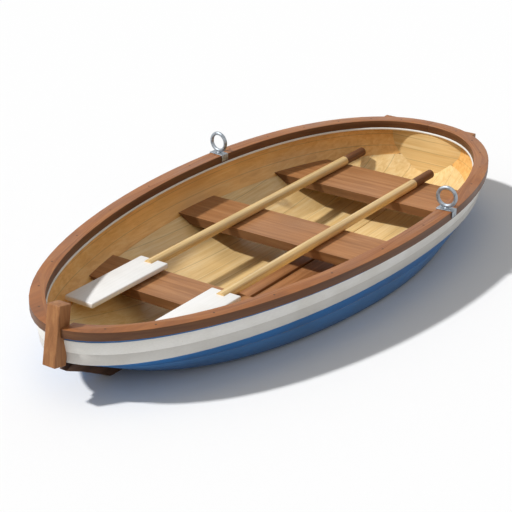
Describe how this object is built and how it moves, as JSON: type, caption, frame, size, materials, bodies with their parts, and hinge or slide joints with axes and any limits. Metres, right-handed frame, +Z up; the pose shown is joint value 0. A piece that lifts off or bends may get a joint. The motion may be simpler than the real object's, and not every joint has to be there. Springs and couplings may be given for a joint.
{
  "type": "wooden rowing boat",
  "caption": "Planked wooden rowing boat with an oval gunwale, stem post, transom, thwarts, floorboards, swivelling rowlocks and a pair of loose oars.",
  "frame": {"origin": "amidships on the centreline, at the waterline", "axes": "+X to the bow, +Y to port, +Z up"},
  "size_m": [3.028, 1.3966, 0.563],
  "materials": {
    "white_paint": "painted, semi-gloss",
    "blue_paint": "painted, semi-gloss",
    "light_blue_paint": "painted, semi-gloss",
    "varnished_lining": "varnished",
    "brown_wood": "oiled",
    "stem_wood": "oiled",
    "dark_wood": "oiled",
    "grey_metal": "galvanised",
    "pale_wood": "varnished"
  },
  "bodies": {
    "hull": {"sheer_strake_port": "white_paint", "sheer_strake_starboard": "white_paint", "topside_strake_port": "white_paint", "topside_strake_starboard": "white_paint", "waterline_strake_port": "blue_paint", "waterline_strake_starboard": "blue_paint", "bilge_strake_port": "light_blue_paint", "bilge_strake_starboard": "light_blue_paint", "bottom_strake_port": "blue_paint", "bottom_strake_starboard": "blue_paint", "garboard_strake_port": "light_blue_paint", "garboard_strake_starboard": "light_blue_paint", "side_lining_port": "varnished_lining", "side_lining_starboard": "varnished_lining", "floor_lining_port": "varnished_lining", "floor_lining_starboard": "varnished_lining", "gunwale_port": "brown_wood", "gunwale_starboard": "brown_wood", "sheer_stripe_port": "blue_paint", "sheer_stripe_starboard": "blue_paint", "stem_post": "stem_wood", "bow_apron": "dark_wood", "keel": "dark_wood", "transom": "brown_wood", "bow_thwart": "brown_wood", "middle_thwart": "brown_wood", "stern_thwart": "brown_wood", "floorboards": "brown_wood", "floor_bearers": "dark_wood", "rowlock_socket_port": "grey_metal", "rowlock_socket_starboard": "grey_metal"},
    "rowlock_port": {"rowlock_port": "grey_metal"},
    "rowlock_starboard": {"rowlock_starboard": "grey_metal"},
    "oar_port": {"oar_shaft_port": "pale_wood", "oar_blade_port": "white_paint", "oar_grip_port": "dark_wood"},
    "oar_starboard": {"oar_shaft_starboard": "pale_wood", "oar_blade_starboard": "white_paint", "oar_grip_starboard": "dark_wood"}
  },
  "joints": [
    {"name": "rowlock_port_swivel", "type": "hinge", "parent": "hull", "child": "rowlock_port", "pos_m": [-0.447, 0.64546, 0.335], "axis": [0, 0, 1], "continuous": true},
    {"name": "rowlock_starboard_swivel", "type": "hinge", "parent": "hull", "child": "rowlock_starboard", "pos_m": [-0.447, -0.64546, 0.335], "axis": [0, 0, 1], "continuous": true},
    {"name": "oar_port_lift", "type": "slide", "parent": "hull", "child": "oar_port", "axis": [0, 0, 1], "range_m": [0, 0.4]},
    {"name": "oar_starboard_lift", "type": "slide", "parent": "hull", "child": "oar_starboard", "axis": [0, 0, 1], "range_m": [0, 0.4]}
  ]
}
